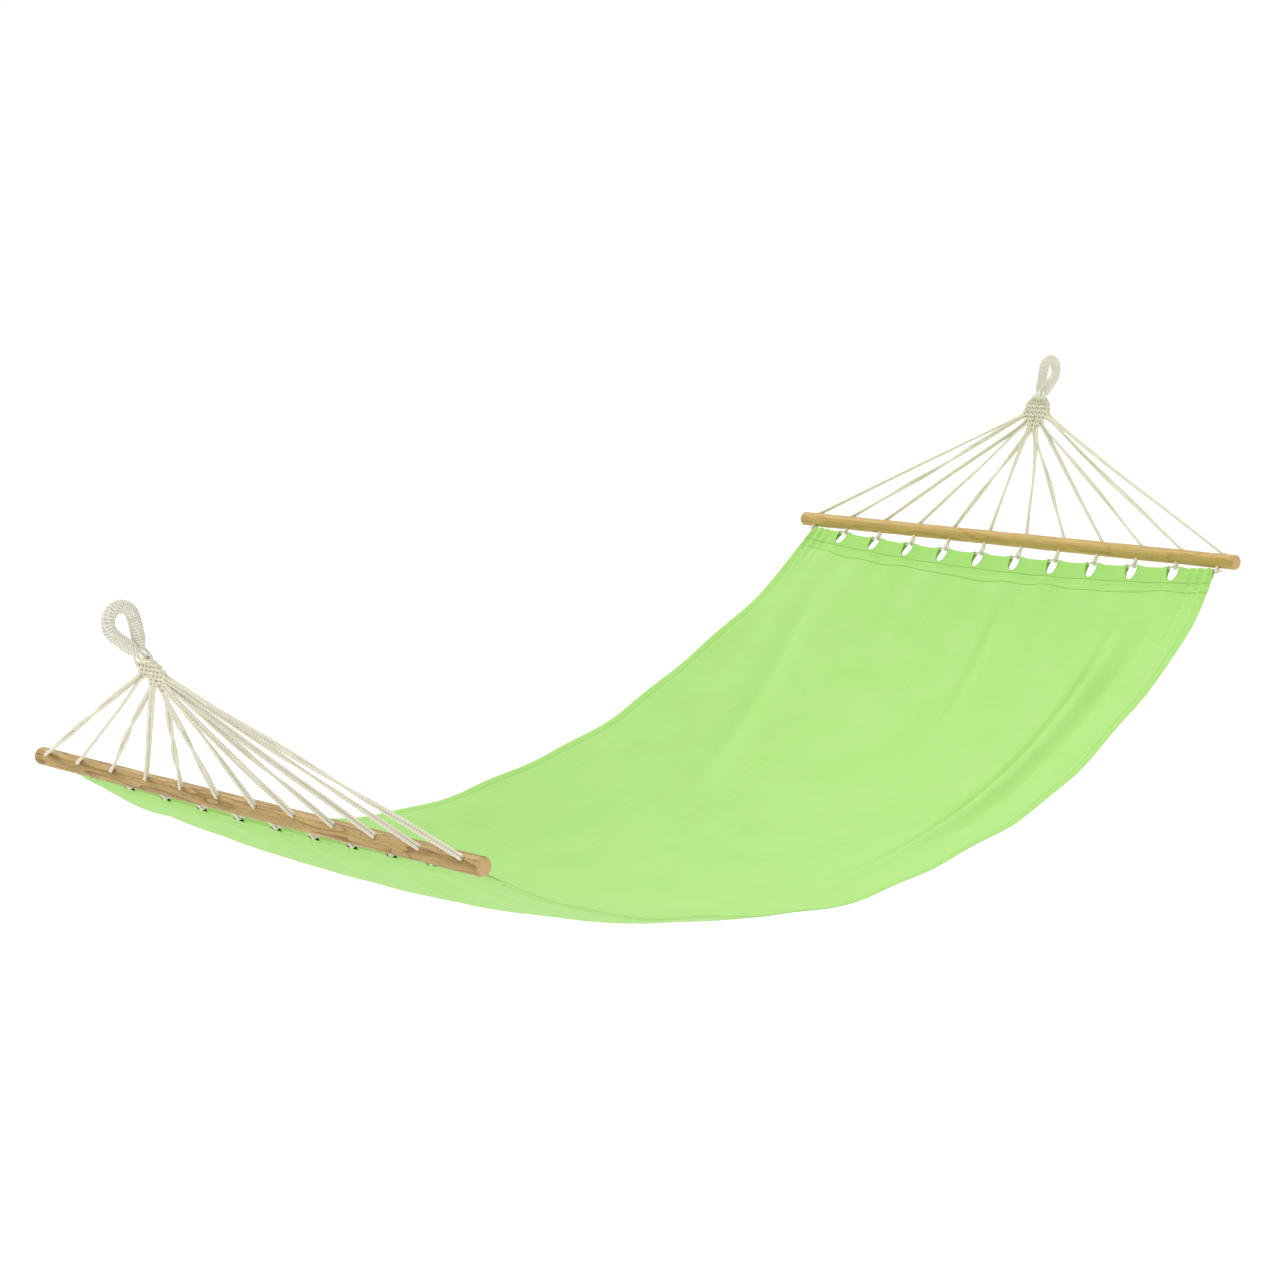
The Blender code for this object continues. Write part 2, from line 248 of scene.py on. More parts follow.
def clew_point(height, across=0.0, through=0.0):
    """A point above (+) or below (-) the neck's centre along the lines' slope."""
    height, across, through = np.broadcast_arrays(height, across, through)
    along = OUTER_MOUTH - (PIVOT_DISTANCE + height[..., None]) * direction(LINE_RISE)
    return along + across[..., None] * ACROSS + through[..., None] * normal(LINE_RISE)


def eye_point(rise, height, off_axis=0.0, across=0.0):
    """A point above the neck's centre along the axis of an eye that stands at this angle."""
    height, off_axis, across = np.broadcast_arrays(height, off_axis, across)
    along = clew_point(0.0) - height[..., None] * direction(rise)
    return along + off_axis[..., None] * normal(rise) + across[..., None] * ACROSS


# ---------------------------------------------------------------- meshes


class Shape:
    """Collects vertices, faces and a painted shade value per vertex, kept in the relief attribute, then makes
    one object of them.
    """

    def __init__(self):
        self.points, self.faces, self.relief, self.count = [], [], [], 0

    def add(self, points, faces, relief=None):
        points = np.asarray(points, float).reshape(-1, 3)
        self.points.append(points)
        self.faces += [tuple(int(i) + self.count for i in face) for face in faces]
        self.relief.append(np.ones(len(points)) if relief is None else np.asarray(relief).ravel())
        self.count += len(points)

    def build(self, name, material):
        mesh = bpy.data.meshes.new(name)
        mesh.from_pydata(np.concatenate(self.points).tolist(), [], self.faces)
        attribute = mesh.attributes.new("relief", "FLOAT", "POINT")
        attribute.data.foreach_set("value", np.concatenate(self.relief).astype(np.float32))
        mesh.materials.append(material)
        mesh.shade_smooth()
        piece = bpy.data.objects.new(name, mesh)
        bpy.context.scene.collection.objects.link(piece)
        return piece


def grid_faces(rows, columns, wrapped=False):
    """Quads between neighbouring rows and columns. A wrapped grid joins its last column to its first."""
    row = np.arange(rows - 1)[:, None]
    column = np.arange(columns if wrapped else columns - 1)[None, :]
    following = (column + 1) % columns
    corners = (row * columns + column, row * columns + following)
    corners += ((row + 1) * columns + following, (row + 1) * columns + column)
    return np.stack([np.broadcast_to(c, (rows - 1, column.size)) for c in corners], -1).reshape(-1, 4)


def cap_faces(rings, sides, first):
    """Triangles that close both ends of a wrapped grid. Points first and first + 1 are the ends' middles."""
    base = (rings - 1) * sides
    faces = []
    for i in range(sides):
        j = (i + 1) % sides
        faces += [(first, j, i), (first + 1, base + i, base + j)]
    return faces


def resampled(points, step):
    """Points about this far apart on a smooth curve through the given ones."""
    points = np.asarray(points, float)
    padded = np.vstack([2 * points[0] - points[1], points, 2 * points[-1] - points[-2]])
    share = np.linspace(0, 1, 16, endpoint=False)[:, None]
    pieces = []
    for a, b, c, d in zip(padded, padded[1:], padded[2:], padded[3:]):
        cubic = 2 * b + (c - a) * share + (2 * a - 5 * b + 4 * c - d) * share**2
        pieces.append((cubic + (3 * b - a - 3 * c + d) * share**3) / 2)
    return evenly(np.vstack(pieces + [points[-1:]]), step)


def evenly(path, step):
    """Points about this far apart along straight pieces between the given ones."""
    gaps = np.linalg.norm(np.diff(path, axis=0), axis=1)
    path = path[np.concatenate([[True], gaps > 1e-7])]
    reached = reach(path)
    places = np.linspace(0, reached[-1], max(2, round(reached[-1] / step) + 1))
    return np.stack([np.interp(places, reached, path[:, i]) for i in range(3)], -1)


def reach(path):
    """How far along the path each of its points lies."""
    return np.concatenate([[0], np.cumsum(np.linalg.norm(np.diff(path, axis=0), axis=1))])


def side_vectors(path, first_side=(0.0, 1.0, 0.0)):
    """Two vectors square to the path at each point, carried along it without twist."""
    tangents = unit(np.gradient(path, axis=0))
    side = np.array(first_side, float)
    sides = []
    for tangent in tangents:
        side = side - tangent * (side @ tangent)
        side /= math.sqrt(side @ side)
        sides.append(side)
    sides = np.array(sides)
    return sides, np.cross(tangents, sides)


def add_tube(shape, path, radius, sides, relief=None, first_side=(0.0, 1.0, 0.0)):
    """A round tube with closed ends. relief(reached, turn) gives its skin's height and shade."""
    path = np.asarray(path, float)
    across, up = side_vectors(path, first_side)
    turn = np.arange(sides) / sides * math.tau
    reached = reach(path)[:, None]
    radii = np.broadcast_to(np.asarray(radius, float), len(path))[:, None] * np.ones((1, sides))
    shade = np.ones_like(radii)
    if relief:
        height, shade = relief(reached, turn[None, :])
        radii = radii + height
    spokes = np.cos(turn)[None, :, None] * across[:, None] + np.sin(turn)[None, :, None] * up[:, None]
    rings = path[:, None] + radii[..., None] * spokes
    points = np.vstack([rings.reshape(-1, 3), path[:1], path[-1:]])
    faces = grid_faces(len(path), sides, wrapped=True).tolist()
    faces += cap_faces(len(path), sides, len(points) - 2)
    # The ends' middles get a shade of 0, as dark in painted shade as a groove.
    shape.add(points, faces, np.concatenate([shade.ravel(), [0, 0]]))


def braid(reached, turn):
    """Columns of slanting stitches, as on a plaited cotton cord. Besides the height it gives a painted shade,
    darker between the stitches.
    """
    column = turn / math.tau * BRAID_COLUMNS
    slant = np.abs((column % 1) - 0.5) * 2
    stitch = np.cos(math.tau * (reached / BRAID_PITCH + 0.5 * slant))
    level = 0.75 * stitch - 0.45 * slant**2
    return BRAID_RELIEF * level, np.clip(0.5 + 0.5 * level, 0, 1) + 0 * reached


def twist(pitch, plies, depth):
    """The skin of a laid cord or twisted twine, with painted shade in the grooves between its plies."""

    def relief(reached, turn):
        level = np.cos(plies * turn + math.tau * reached / pitch)
        return depth * level, 0.5 + 0.5 * level

    return relief


# ---------------------------------------------------------------- materials


class Surface:
    """One Principled material and short calls for the nodes behind it."""

    def __init__(self, name, roughness, sheen=0.0):
        self.material = bpy.data.materials.new(name)
        self.material.use_nodes = True
        self.tree = self.material.node_tree
        self.shader = self.tree.nodes["Principled BSDF"]
        self.shader.inputs["Roughness"].default_value = roughness
        self.shader.inputs["Specular IOR Level"].default_value = 0.3
        self.shader.inputs["Sheen Weight"].default_value = sheen
        self.shader.inputs["Sheen Roughness"].default_value = 0.5

    def node(self, kind, inputs=(), **settings):
        node = self.tree.nodes.new(kind)
        for key, value in settings.items():
            setattr(node, key, value)
        for key, value in dict(inputs).items():
            socket = node.inputs[key]
            if isinstance(value, bpy.types.NodeSocket):
                self.tree.links.new(value, socket)
            else:
                socket.default_value = value
        return node

    def place(self, scale=(1, 1, 1), offset=(0, 0, 0)):
        """Coordinates fixed to the piece, in metres from offset, then scaled."""
        source = self.node("ShaderNodeTexCoord").outputs["Object"]
        shifted = self.node("ShaderNodeVectorMath", {0: source, 1: offset}, operation="SUBTRACT")
        return self.stretched(shifted.outputs[0], scale)

    def stretched(self, vector, scale):
        return self.node("ShaderNodeVectorMath", {0: vector, 1: scale}, operation="MULTIPLY").outputs[0]

    def noise(self, place, scale, detail=3.0, distortion=0.0):
        inputs = {"Vector": place, "Scale": scale, "Detail": detail, "Distortion": distortion}
        return self.node("ShaderNodeTexNoise", inputs).outputs["Fac"]

    def maths(self, operation, *values):
        return self.node("ShaderNodeMath", dict(enumerate(values)), operation=operation).outputs[0]

    def between(self, value, low, high):
        """0 where value is at low, 1 where it is at high."""
        inputs = {"Value": value, "From Min": low, "From Max": high}
        return self.node("ShaderNodeMapRange", inputs).outputs[0]

    def mix(self, share, first, second):
        node = self.node("ShaderNodeMix", data_type="RGBA")
        for index, value in ((0, share), (6, first), (7, second)):
            if isinstance(value, bpy.types.NodeSocket):
                self.tree.links.new(value, node.inputs[index])
            else:
                node.inputs[index].default_value = value
        return node.outputs[2]

    def attribute(self, name):
        return self.node("ShaderNodeAttribute", attribute_name=name).outputs["Fac"]

    def colour(self, socket):
        self.tree.links.new(socket, self.shader.inputs["Base Color"])

    def bumps(self, *layers):
        """Each layer is (height socket, distance in metres)."""
        below = None
        for height, distance in layers:
            inputs = {"Height": height, "Distance": distance, "Strength": 1.0}
            if below:
                inputs["Normal"] = below
            below = self.node("ShaderNodeBump", inputs).outputs[0]
        self.tree.links.new(below, self.shader.inputs["Normal"])


def tone(red, green, blue, level=1.0):
    """A colour given as seen on screen, 0 to 255, made linear."""
    linear = [((c / 255 + 0.055) / 1.055) ** 2.4 if c > 10 else c / 255 / 12.92 for c in (red, green, blue)]
    return (*[level * c for c in linear], 1)


def make_cotton(name, crest, groove):
    surface = Surface(name, 0.9, sheen=0.15)
    place = surface.place()
    patches = surface.between(surface.noise(place, 45.0), 0.35, 0.7)
    fibres = surface.noise(place, 2600.0, 2.0)
    # Painted shade: where the relief attribute is low, in grooves and crossings, the colour goes to the
    # groove tone.
    depth = surface.between(surface.attribute("relief"), 0.05, 0.75)
    lit = surface.mix(patches, crest, tuple(0.93 * c for c in crest[:3]) + (1,))
    surface.colour(surface.mix(depth, groove, lit))
    surface.bumps((fibres, 0.0002), (surface.noise(place, 900.0), 0.0003))
    return surface.material


def make_wood(name, end, light, dark, pore, end_grain):
    """Flat-sawn figure: long flames where the rings run out through the bar's side, and short pores."""
    surface = Surface(name, 0.55)
    middle = tuple(end.bar)
    across, along, up = surface.node("ShaderNodeSeparateXYZ", {0: surface.place(offset=middle)}).outputs

    def grained(stretch):
        return surface.place(scale=(1, stretch, 1), offset=middle)

    drift = surface.noise(grained(0.11), 40.0, 2.0, 0.5)
    depth = surface.maths("ADD", surface.maths("MULTIPLY", up, 62.0), surface.maths("MULTIPLY", across, 30.0))
    ring = surface.maths("FRACT", surface.maths("ADD", depth, surface.maths("MULTIPLY", drift, 5.5)))
    late_wood = surface.maths("POWER", ring, 5.0)
    fine = surface.noise(grained(0.05), 420.0, 3.0)
    pores = surface.between(surface.noise(grained(0.10), 1000.0, 1.0), 0.62, 0.70)
    broad = surface.between(surface.noise(grained(0.3), 30.0, 3.0), 0.35, 0.65)
    early, late = surface.maths("MULTIPLY", ring, 0.45), surface.maths("MULTIPLY", late_wood, 0.65)
    shade = surface.maths("ADD", early, late)
    shade = surface.maths("ADD", shade, surface.maths("MULTIPLY", surface.between(fine, 0.35, 0.75), 0.4))
    body = surface.mix(shade, light, dark)
    body = surface.mix(surface.maths("MULTIPLY", broad, 0.3), body, dark)
    body = surface.mix(surface.maths("MULTIPLY", pores, 0.6), body, pore)
    tip = surface.between(surface.maths("ABSOLUTE", along), end.half_bar - 0.006, end.half_bar - 0.001)
    surface.colour(surface.mix(surface.maths("MULTIPLY", tip, 0.8), body, end_grain))
    surface.bumps((pores, -0.00015), (fine, 0.00010), (late_wood, -0.00008))
    return surface.material


def make_canvas():
    surface = Surface("canvas", 0.92, sheen=0.08)
    threads = surface.node("ShaderNodeUVMap", uv_map="threads").outputs[0]
    split = surface.node("ShaderNodeSeparateXYZ", {0: threads}).outputs
    weave = []
    for axis in (0, 1):
        stretch = [1.0, 1.0, 1.0]
        stretch[1 - axis] = 0.02
        slub = surface.noise(surface.stretched(threads, stretch), 420.0, 2.0)
        wave = surface.maths("SINE", surface.maths("MULTIPLY", split[axis], math.tau / 0.0009))
        weave.append((wave, slub))
    plain = surface.maths("MULTIPLY", weave[0][0], weave[1][0])
    slubs = surface.maths("ADD", weave[0][1], weave[1][1])
    mottle = surface.noise(surface.place(), 9.0, 4.0)
    # Painted shade: the canvas is darkened where the cloth lies double, along the hems.
    doubled = surface.attribute("relief")
    base = surface.mix(surface.between(slubs, 0.8, 1.2), CANVAS, CANVAS_DEEP)
    pale = surface.maths("MULTIPLY", surface.between(mottle, 0.35, 0.65), 0.35)
    base = surface.mix(pale, base, CANVAS_PALE)
    surface.colour(surface.mix(surface.maths("MULTIPLY", doubled, 0.55), base, CANVAS_HEM_SHADE))
    surface.bumps((plain, 0.00004), (slubs, 0.00012))
    return surface.material


CANVAS = tone(181, 233, 131, 0.82)
CANVAS_DEEP = tone(176, 229, 124, 0.82)
CANVAS_PALE = tone(188, 237, 140, 0.82)
# Painted shade, for where the cloth lies double at the hems:
CANVAS_HEM_SHADE = tone(166, 224, 110, 0.82)

# Each cotton's second tone is its painted shade in grooves.
cotton = make_cotton("cotton_cord", tone(237, 234, 217), tone(206, 199, 172))
twine = make_cotton("twine", tone(239, 237, 226), tone(196, 189, 164))
canvas = make_canvas()
thread = make_cotton("thread", tone(132, 182, 86), tone(112, 160, 70))
wood = {
    HEAD: make_wood(
        "head_wood", HEAD, tone(197, 169, 109), tone(141, 110, 61), tone(100, 72, 38), tone(201, 165, 117)
    ),
    FOOT: make_wood(
        "foot_wood", FOOT, tone(200, 172, 103), tone(176, 145, 78), tone(153, 118, 65), tone(199, 164, 108)
    ),
}
# The holes' walls are painted dark: partly painted shade inside the holes, partly wood scorched by the drill.
hole_shade_and_scorch = {
    HEAD: make_cotton("head_bored_wood", tone(92, 66, 38), tone(92, 66, 38)),
    FOOT: make_cotton("foot_bored_wood", tone(128, 96, 56), tone(128, 96, 56)),
}


# ---------------------------------------------------------------- bars


def make_bar(end):
    """A turned dowel, never quite straight or round, with drilled holes."""
    sides, rounding_steps = 64, 6
    turns = np.linspace(0, math.pi / 2, rounding_steps + 1)
    shrink = BAR_ROUNDING * (1 - np.sin(turns))
    flat = np.linspace(-end.half_bar + BAR_ROUNDING, end.half_bar - BAR_ROUNDING, 161)
    rounded = -end.half_bar + BAR_ROUNDING - BAR_ROUNDING * np.cos(turns[:-1])
    y = np.concatenate([[-end.half_bar], rounded, flat])
    y = np.concatenate([y, -y[: rounding_steps + 1][::-1]])
    full = np.full(len(flat), BAR_RADIUS)
    radius = np.concatenate([[BAR_RADIUS - BAR_ROUNDING], BAR_RADIUS - shrink[:-1], full])
    radius = np.concatenate([radius, radius[: rounding_steps + 1][::-1]])
    turn = np.arange(sides) / sides * math.tau
    lumps = sum(
        math.cos(phase) * np.sin(k * y[:, None] + phase + m * turn[None, :])
        for k, m, phase in ((9, 0, 0.4), (17, 1, 2.0), (31, 2, 5.1), (53, 1, 3.6))
    )
    radii = radius[:, None] - BAR_WAVINESS * (1 + lumps / 2)
    rings = np.stack(
        [radii * np.cos(turn)[None], y[:, None] * np.ones((1, sides)), radii * np.sin(turn)[None]], -1
    )
    points = np.vstack([rings.reshape(-1, 3), [[0, y[0], 0]], [[0, y[-1], 0]]])
    faces = grid_faces(len(y), sides, wrapped=True).tolist() + cap_faces(len(y), sides, len(points) - 2)
    shape = Shape()
    shape.add(points + np.array(end.bar), faces)
    bar = shape.build(f"{end.name}_bar_dowel", wood[end])
    cutter = make_hole_cutter(end)
    cut = bar.modifiers.new("holes", "BOOLEAN")
    cut.operation = "DIFFERENCE"
    cut.object = cutter
    # The hole walls take the drills' dark material: painted shade and scorch.
    cut.material_mode = "TRANSFER"
    apply_modifiers(bar)
    bpy.data.objects.remove(cutter)
    bar.data.set_sharp_from_angle(angle=math.radians(40))
    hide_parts(f"{end.name}_spreader_bar")
    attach(bar, end.body)


def make_hole_cutter(end):
    """A drill for each hole, with a small countersink at each mouth."""
    shape = Shape()
    sides = 24
    turn = np.arange(sides) / sides * math.tau
    drill, side = direction(HOLE_RISE), normal(HOLE_RISE)
    spokes = np.cos(turn)[:, None] * side + np.sin(turn)[:, None] * ACROSS
    steps = ((-0.03, 0.0100), (-0.0146, 0.0082), (-0.0118, HOLE_RADIUS))  # place along the drill, radius
    steps += tuple((-along, radius) for along, radius in steps[::-1])
    for y in HOLE_PLACES:
        rings = [along * drill + y * ACROSS + radius * spokes for along, radius in steps]
        tips = [along * drill + y * ACROSS for along in (steps[0][0], steps[-1][0])]
        points = end.place(np.vstack(rings + [tips]))
        faces = grid_faces(len(steps), sides, wrapped=True).tolist()
        faces += cap_faces(len(steps), sides, len(points) - 2)
        if end.inward < 0:
            faces = [face[::-1] for face in faces]
        shape.add(points, faces)
    return shape.build(f"{end.name}_drills", hole_shade_and_scorch[end])


def apply_modifiers(piece):
    evaluated = piece.evaluated_get(bpy.context.evaluated_depsgraph_get())
    mesh = bpy.data.meshes.new_from_object(evaluated)
    piece.modifiers.clear()
    piece.data = mesh


# ---------------------------------------------------------------- cords and clews


def middle_share(y):
    """0 at the bed's sides, 1 in the middle: the hem bows away from the bar there, and the bed sags more."""
    return 1 - np.minimum(1, np.abs(y) / (BED_WIDTH / 2)) ** 2


def hem_cord_point(end, y, pulled_up=0.0):
    y, pulled_up = np.broadcast_arrays(np.asarray(y, float), pulled_up)
    drop = HEM_DROP_EDGE + (end.hem_drop - HEM_DROP_EDGE) * middle_share(y) - pulled_up
    return INNER_MOUTH + drop[..., None] * direction(HEM_RISE) + y[..., None] * ACROSS


def bight_rise(y):
    return BIGHT_RISE if abs(y) < BED_WIDTH / 2 else END_BIGHT_RISE


def line_exit(number):
    """Where line number leaves the mat: (across, height)."""
    share = (abs(number - (HOLE_COUNT - 1) / 2) - 0.5) / (HOLE_COUNT / 2 - 1)
    across, height = (b + share * (a - b) for a, b in zip(FIRST_EXIT, LAST_EXIT))
    return math.copysign(across, (HOLE_COUNT - 1) / 2 - number), height


def mat_across(number, height):
    """How far off the mat's middle line the pair for this line runs at this height."""
    heights, widths = np.array(MAT_WIDTHS[::-1]).T
    half = (HOLE_COUNT - 1) / 2
    return (half - number) / half * np.interp(height, heights, widths)


def line_paths(end, number):
    """The two strands of one line, each from the neck through the mat and the bar."""
    y = HOLE_PLACES[number]
    exit_across, exit_height = line_exit(number)
    lean = 1 if number % 2 else -1

    heights = np.arange(MAT_WIDTHS[0][0], exit_height, -CORD_STEP)
    share = smooth((heights - heights[0]) / (exit_height - heights[0]) * 1.2 - 0.2)
    across = mat_across(number, heights)
    across += (exit_across - mat_across(number, exit_height)) * share
    mat = clew_point(heights, across)

    start, mouth = clew_point(exit_height, exit_across), OUTER_MOUTH + y * ACROSS
    partner = number + 1 if number % 2 == 0 else number - 1
    partner_across, partner_height = line_exit(partner)
    partner_start = clew_point(partner_height, partner_across)
    partner_way = unit(OUTER_MOUTH + HOLE_PLACES[partner] * ACROSS - partner_start)
    way = unit(mouth - start)
    shared_way = unit(way + partner_way)
    apart = math.copysign(1, y - HOLE_PLACES[partner]) * (STRAND_OFFSET + 0.0002)
    beside = unit(np.cross(shared_way, normal(LINE_RISE)))
    beside = beside * math.copysign(1, beside @ ACROSS)
    web = (start + partner_start) / 2 + WEB_LENGTH * shared_way + apart * beside
    enter = y * ACROSS - (BAR_RADIUS + OUT_OF_WOOD) * direction(HOLE_RISE)
    leave = y * ACROSS + (BAR_RADIUS + OUT_OF_WOOD) * direction(HOLE_RISE)
    to_mouth = unit(enter - web)
    sway, sink = random.uniform(-0.0035, 0.0035), random.uniform(-0.003, 0.001)
    place = random.uniform(0.3, 0.6)
    bow = web + place * (enter - web) + sway * beside + sink * normal(LINE_RISE)
    bow2 = web + 0.5 * (1 + place) * (enter - web) + 0.4 * sway * beside
    line = resampled([mat[-1], web, bow, bow2, enter - 0.006 * to_mouth, enter, leave], CORD_STEP)

    centre = np.vstack([mat[:-1], line])
    reached = reach(centre)
    exit_at, end_at = reached[len(mat) - 1], reached[-1]
    phase = lean * math.pi * (FIRST_WEFT - heights) / MAT_ROW
    turns = round(phase[-1] / math.pi) + lean * int(random.integers(0, 3))
    settle = smooth((reached[len(mat) :] - exit_at) / (end_at - exit_at - 0.03))
    line_phase = phase[-1] + (turns * math.pi - phase[-1]) * settle
    phase = np.concatenate([phase, line_phase])[: len(centre)]
    in_mat = 1 - smooth((reached - exit_at + 0.004) / 0.014)
    through = STRAND_OFFSET + (MAT_THROUGH - STRAND_OFFSET) * in_mat
    beside_by = STRAND_OFFSET + (MAT_ACROSS - STRAND_OFFSET) * in_mat

    tangents = unit(np.gradient(centre, axis=0))
    blend = smooth((reached - end_at + 0.05) / 0.02)[:, None]
    up = normal(LINE_RISE) * (1 - blend) + normal(HOLE_RISE) * blend
    up = unit(up - tangents * np.sum(up * tangents, axis=1, keepdims=True))
    side = np.cross(up, tangents)
    offset = (through * np.cos(phase))[:, None] * up + (beside_by * np.sin(phase))[:, None] * side
    strands = []
    for sign in (1, -1):
        strand = centre + sign * offset
        strand[: len(heights)] += sign * bundle_offset(number, heights)
        strands.append(strand)
    if turns % 2:
        strands.reverse()
    return strands


def bundle_offset(number, heights):
    """How far a strand on the front moves from the flat mat to its place in the round bundle at the neck."""
    half = (HOLE_COUNT - 1) / 2
    place = (half - number) / half
    rounding = smooth((heights + BUNDLE_START) / BUNDLE_LENGTH)
    depth = BUNDLE_DEPTH * math.sqrt(1 - 0.85 * place**2)
    return (rounding * (depth - 0.4 * MAT_THROUGH))[:, None] * normal(LINE_RISE)


def make_line(end, number):
    """One doubled cord as a single tube: down one strand, round the hem cord and back up the other."""
    upper, lower = line_paths(end, number)
    y = HOLE_PLACES[number]
    centre = hem_cord_point(end, y, bight_rise(y))
    turn = np.radians((75, 45, 15, -15, -45, -75))[:, None]
    spokes = np.cos(turn) * direction(HEM_RISE) + np.sin(turn) * normal(HEM_RISE)
    bight = resampled(np.vstack([upper[-3:-1], centre + BIGHT_RADIUS * spokes, lower[-2:-4:-1]]), CORD_STEP)
    path = evenly(np.vstack([upper[:-3], bight, lower[-4::-1]]), CORD_STEP)
    off_weft = np.abs((path - clew_point(0.0)) @ normal(LINE_RISE))
    path = end.place(path)
    reached = reach(path)
    from_neck = np.minimum(reached, reached[-1] - reached)
    in_mat = -line_exit(number)[1]
    drawn = smooth((from_neck - in_mat) / 0.02)
    swell = 1 + 0.05 * np.sin(reached * 61 + number)
    radii = (MAT_STRAND_RADIUS + (CORD_RADIUS - 0.0001 - MAT_STRAND_RADIUS) * drawn) * swell
    lit = 1 - (1 - drawn) * CROSSING_SHADE * (1 - np.clip(off_weft / MAT_THROUGH, 0, 1))

    def stitches(reached, turn):
        height, shade = braid(reached, turn)
        return height, shade * lit[:, None]

    shape = Shape()
    add_tube(shape, path, radii, CORD_SIDES, stitches)
    cord = shape.build(f"{end.name}_cord_{number + 1:02d}", cotton)
    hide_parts(f"{end.name}_line_{number + 1:02d}")
    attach(cord, end.body)


def make_hem_cord(end):
    tail = HOLE_PLACES[0] + HEM_CORD_TAIL
    y = np.linspace(tail, -tail, 600)
    path = evenly(end.place(hem_cord_point(end, y, cord_lift(y))), CORD_STEP)
    shape = Shape()
    add_tube(shape, path, CORD_RADIUS - 0.0001, CORD_SIDES, braid, first_side=(0, 0, 1))
    cord = shape.build(f"{end.name}_hem_rope", cotton)
    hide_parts(f"{end.name}_hem_cord")
    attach(cord, end.body)


def nearest_notch(y):
    """Distance across to the nearest hole that has a notch, with its sign."""
    places = np.array(HOLE_PLACES[1:-1])
    gaps = np.asarray(y, float)[..., None] - places
    pick = np.abs(gaps).argmin(-1)
    return np.take_along_axis(gaps, pick[..., None], -1)[..., 0]


def cord_lift(y):
    """How far the bights pull the hem cord up towards the bar."""
    y = np.asarray(y, float)
    gap = np.abs(nearest_notch(y))
    peak = (BIGHT_RISE - HEM_LIFT) * smooth(1 - (gap - 0.0025) / 0.012)
    inner = peak + HEM_LIFT * smooth(1 - (gap - 0.008) / 0.024)
    outer = END_BIGHT_RISE * smooth((np.abs(y) - BED_WIDTH / 2) / (HOLE_PLACES[0] - BED_WIDTH / 2))
    return np.where(np.abs(y) < BED_WIDTH / 2, inner, outer)


def make_weft(end):
    """The cord that passes to and fro between the strands of each pair, and loops round the outer ones."""
    heights = np.arange(FIRST_WEFT, LAST_WEFT, -MAT_ROW)
    route = []
    for i, height in enumerate(heights):
        side = 1 if i % 2 else -1
        held = [n for n in range(HOLE_COUNT) if line_exit(n)[1] < height + 0.001]
        width = abs(mat_across(held[0], height)) + 0.0048 if held else 0.003
        for share in (-1.0, -0.5, 0.0, 0.5, 1.0):
            ripple = 0.0006 * math.cos(3 * share + i)
            route.append(clew_point(height + ripple, side * share * width))
        route.append(clew_point(height - MAT_ROW / 2, side * (width + 0.0018)))
    shape = Shape()
    path = resampled(route, CORD_STEP)
    add_tube(shape, end.place(path), WEFT_RADIUS, WEFT_SIDES, twist(0.004, 2, 0.0002))
    weft = shape.build(f"{end.name}_clew_weft", cotton)
    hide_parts(f"{end.name}_clew")
    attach(weft, end.body)


# ---------------------------------------------------------------- eyes


def eye_outline(end, lowest):
    """The rope's middle line: one leg up, round the crown and down the other."""
    heights, offsets = np.array([leg for leg in LEG_OFFSETS if leg[0] >= lowest]).T
    turn = np.linspace(-CROWN_DIP, math.pi + CROWN_DIP, 40)
    height = np.concatenate([heights, CROWN_HEIGHT + CROWN_RADIUS * np.sin(turn), heights[::-1]])
    offset = np.concatenate([offsets, CROWN_RADIUS * np.cos(turn), -offsets[::-1]])
    across = 0.0022 * np.sign(offset) * smooth(1 - (height - lowest) / 0.03)
    return resampled(eye_point(end.eye_rise, height, offset, across), 0.0008)


def wound(path, radius, pitch, steps_per_turn=26, first_side=(0.0, 1.0, 0.0)):
    """Close turns round a path, as one line."""
    across, up = side_vectors(path, first_side)
    reached = reach(path)
    count = int(reached[-1] / pitch * steps_per_turn)
    places = np.linspace(0, reached[-1], count)
    radius = np.interp(places, reached, radius)[:, None]
    centre, a, b = (
        np.stack([np.interp(places, reached, part[:, i]) for i in range(3)], -1)
        for part in (path, across, up)
    )
    turn = (math.tau * places / pitch)[:, None]
    wander = 1 + 0.02 * np.sin(places * 410)[:, None]
    return centre + radius * wander * (np.cos(turn) * a + np.sin(turn) * b)


def make_eye(end):
    path = end.place(eye_outline(end, LOWEST_TWINE))
    reached = reach(path)
    taper = LEG_TAPER * (1 - smooth(np.minimum(reached, reached[-1] - reached) / LEG_TAPER_LENGTH))
    shape = Shape()
    add_tube(shape, path, EYE_ROPE_RADIUS - taper, 20, twist(0.02, 6, 0.0003))
    height = np.linspace(-0.97, 0.97, 41) * NECK_RADIUS
    bundle = end.place(eye_point(end.eye_rise, height))
    add_tube(shape, bundle, np.sqrt(NECK_RADIUS**2 - height**2), 48, twist(0.05, 9, 0.0004))
    rope = shape.build(f"{end.name}_eye_core", twine)
    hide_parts(f"{end.name}_eye_rope")
    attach(rope, "hung_eyes")

    shape = Shape()
    turns = wound(path, SERVING_RADIUS - TWINE_RADIUS - taper, TWINE_PITCH)
    add_tube(shape, turns, TWINE_RADIUS, 10, twist(0.006, 2, 0.00008))
    serving = shape.build(f"{end.name}_eye_whipping", twine)
    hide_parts(f"{end.name}_eye_serving")
    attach(serving, "hung_eyes")


# ---------------------------------------------------------------- bed


def fold_point(end, y):
    """The top of the hem's fold, in the end's own plane."""
    return hem_cord_point(end, y) + TUNNEL_RADIUS * normal(HEM_RISE)


